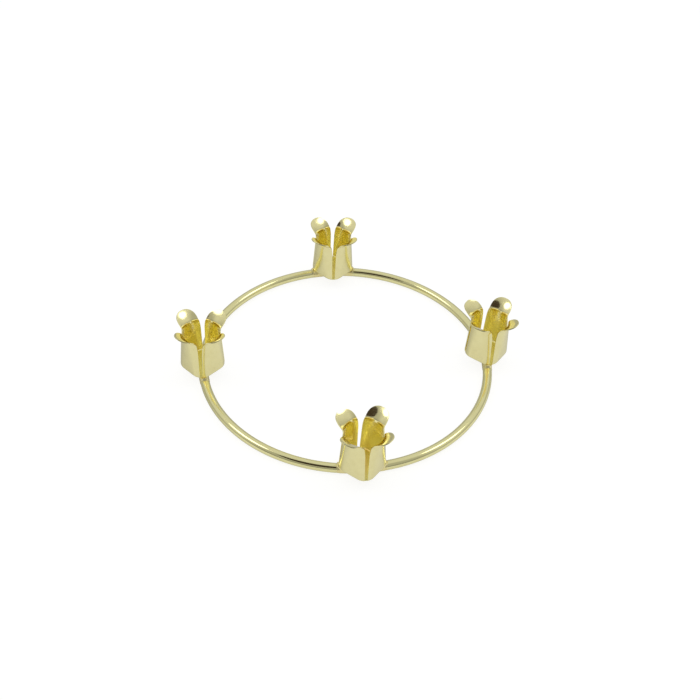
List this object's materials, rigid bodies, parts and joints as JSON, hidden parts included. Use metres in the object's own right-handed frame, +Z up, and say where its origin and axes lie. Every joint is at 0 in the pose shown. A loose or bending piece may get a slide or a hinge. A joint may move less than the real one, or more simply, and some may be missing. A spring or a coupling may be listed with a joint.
{
  "type": "advent candle ring",
  "caption": "Round brass wire ring that carries sheet-metal spring cups on its quarters; each cup's flared petals grip a slim candle upright, as in an advent wreath.",
  "frame": {"origin": "centre of the ring, on the surface that the wire rests on", "axes": "+Z up along the candles; +X to the right cup and +Y to the back cup"},
  "size_m": [0.1186, 0.1186, 0.0217],
  "materials": {
    "wire": "polished",
    "cup_sheet": "polished",
    "solder": "satin"
  },
  "bodies": {
    "ring": {"ring_wire": "wire", "right_solder": "solder", "right_cup_floor": "cup_sheet", "back_solder": "solder", "back_cup_floor": "cup_sheet", "left_solder": "solder", "left_cup_floor": "cup_sheet", "front_solder": "solder", "front_cup_floor": "cup_sheet"},
    "right_petal_outer_ccw": {"right_petal_outer_ccw": "cup_sheet"},
    "right_petal_inner_ccw": {"right_petal_inner_ccw": "cup_sheet"},
    "right_petal_inner_cw": {"right_petal_inner_cw": "cup_sheet"},
    "right_petal_outer_cw": {"right_petal_outer_cw": "cup_sheet"},
    "back_petal_outer_ccw": {"back_petal_outer_ccw": "cup_sheet"},
    "back_petal_inner_ccw": {"back_petal_inner_ccw": "cup_sheet"},
    "back_petal_inner_cw": {"back_petal_inner_cw": "cup_sheet"},
    "back_petal_outer_cw": {"back_petal_outer_cw": "cup_sheet"},
    "left_petal_outer_ccw": {"left_petal_outer_ccw": "cup_sheet"},
    "left_petal_inner_ccw": {"left_petal_inner_ccw": "cup_sheet"},
    "left_petal_inner_cw": {"left_petal_inner_cw": "cup_sheet"},
    "left_petal_outer_cw": {"left_petal_outer_cw": "cup_sheet"},
    "front_petal_outer_ccw": {"front_petal_outer_ccw": "cup_sheet"},
    "front_petal_inner_ccw": {"front_petal_inner_ccw": "cup_sheet"},
    "front_petal_inner_cw": {"front_petal_inner_cw": "cup_sheet"},
    "front_petal_outer_cw": {"front_petal_outer_cw": "cup_sheet"}
  },
  "joints": [
    {"name": "right_petal_outer_ccw_flex", "type": "hinge", "parent": "ring", "child": "right_petal_outer_ccw", "pos_m": [0.05389, 0.00389, 0.0036], "axis": [-0.7071, 0.7071, 0], "range_deg": [-2, 4], "stiffness_Nm_per_rad": 0.9},
    {"name": "right_petal_inner_ccw_flex", "type": "hinge", "parent": "ring", "child": "right_petal_inner_ccw", "pos_m": [0.04611, 0.00389, 0.0036], "axis": [-0.7071, -0.7071, 0], "range_deg": [-2, 4], "stiffness_Nm_per_rad": 0.9},
    {"name": "right_petal_inner_cw_flex", "type": "hinge", "parent": "ring", "child": "right_petal_inner_cw", "pos_m": [0.04611, -0.00389, 0.0036], "axis": [0.7071, -0.7071, 0], "range_deg": [-2, 4], "stiffness_Nm_per_rad": 0.9},
    {"name": "right_petal_outer_cw_flex", "type": "hinge", "parent": "ring", "child": "right_petal_outer_cw", "pos_m": [0.05389, -0.00389, 0.0036], "axis": [0.7071, 0.7071, 0], "range_deg": [-2, 4], "stiffness_Nm_per_rad": 0.9},
    {"name": "back_petal_outer_ccw_flex", "type": "hinge", "parent": "ring", "child": "back_petal_outer_ccw", "pos_m": [-0.00389, 0.05389, 0.0036], "axis": [-0.7071, -0.7071, 0], "range_deg": [-2, 4], "stiffness_Nm_per_rad": 0.9},
    {"name": "back_petal_inner_ccw_flex", "type": "hinge", "parent": "ring", "child": "back_petal_inner_ccw", "pos_m": [-0.00389, 0.04611, 0.0036], "axis": [0.7071, -0.7071, 0], "range_deg": [-2, 4], "stiffness_Nm_per_rad": 0.9},
    {"name": "back_petal_inner_cw_flex", "type": "hinge", "parent": "ring", "child": "back_petal_inner_cw", "pos_m": [0.00389, 0.04611, 0.0036], "axis": [0.7071, 0.7071, 0], "range_deg": [-2, 4], "stiffness_Nm_per_rad": 0.9},
    {"name": "back_petal_outer_cw_flex", "type": "hinge", "parent": "ring", "child": "back_petal_outer_cw", "pos_m": [0.00389, 0.05389, 0.0036], "axis": [-0.7071, 0.7071, 0], "range_deg": [-2, 4], "stiffness_Nm_per_rad": 0.9},
    {"name": "left_petal_outer_ccw_flex", "type": "hinge", "parent": "ring", "child": "left_petal_outer_ccw", "pos_m": [-0.05389, -0.00389, 0.0036], "axis": [0.7071, -0.7071, 0], "range_deg": [-2, 4], "stiffness_Nm_per_rad": 0.9},
    {"name": "left_petal_inner_ccw_flex", "type": "hinge", "parent": "ring", "child": "left_petal_inner_ccw", "pos_m": [-0.04611, -0.00389, 0.0036], "axis": [0.7071, 0.7071, 0], "range_deg": [-2, 4], "stiffness_Nm_per_rad": 0.9},
    {"name": "left_petal_inner_cw_flex", "type": "hinge", "parent": "ring", "child": "left_petal_inner_cw", "pos_m": [-0.04611, 0.00389, 0.0036], "axis": [-0.7071, 0.7071, 0], "range_deg": [-2, 4], "stiffness_Nm_per_rad": 0.9},
    {"name": "left_petal_outer_cw_flex", "type": "hinge", "parent": "ring", "child": "left_petal_outer_cw", "pos_m": [-0.05389, 0.00389, 0.0036], "axis": [-0.7071, -0.7071, 0], "range_deg": [-2, 4], "stiffness_Nm_per_rad": 0.9},
    {"name": "front_petal_outer_ccw_flex", "type": "hinge", "parent": "ring", "child": "front_petal_outer_ccw", "pos_m": [0.00389, -0.05389, 0.0036], "axis": [0.7071, 0.7071, 0], "range_deg": [-2, 4], "stiffness_Nm_per_rad": 0.9},
    {"name": "front_petal_inner_ccw_flex", "type": "hinge", "parent": "ring", "child": "front_petal_inner_ccw", "pos_m": [0.00389, -0.04611, 0.0036], "axis": [-0.7071, 0.7071, 0], "range_deg": [-2, 4], "stiffness_Nm_per_rad": 0.9},
    {"name": "front_petal_inner_cw_flex", "type": "hinge", "parent": "ring", "child": "front_petal_inner_cw", "pos_m": [-0.00389, -0.04611, 0.0036], "axis": [-0.7071, -0.7071, 0], "range_deg": [-2, 4], "stiffness_Nm_per_rad": 0.9},
    {"name": "front_petal_outer_cw_flex", "type": "hinge", "parent": "ring", "child": "front_petal_outer_cw", "pos_m": [-0.00389, -0.05389, 0.0036], "axis": [0.7071, -0.7071, 0], "range_deg": [-2, 4], "stiffness_Nm_per_rad": 0.9}
  ]
}
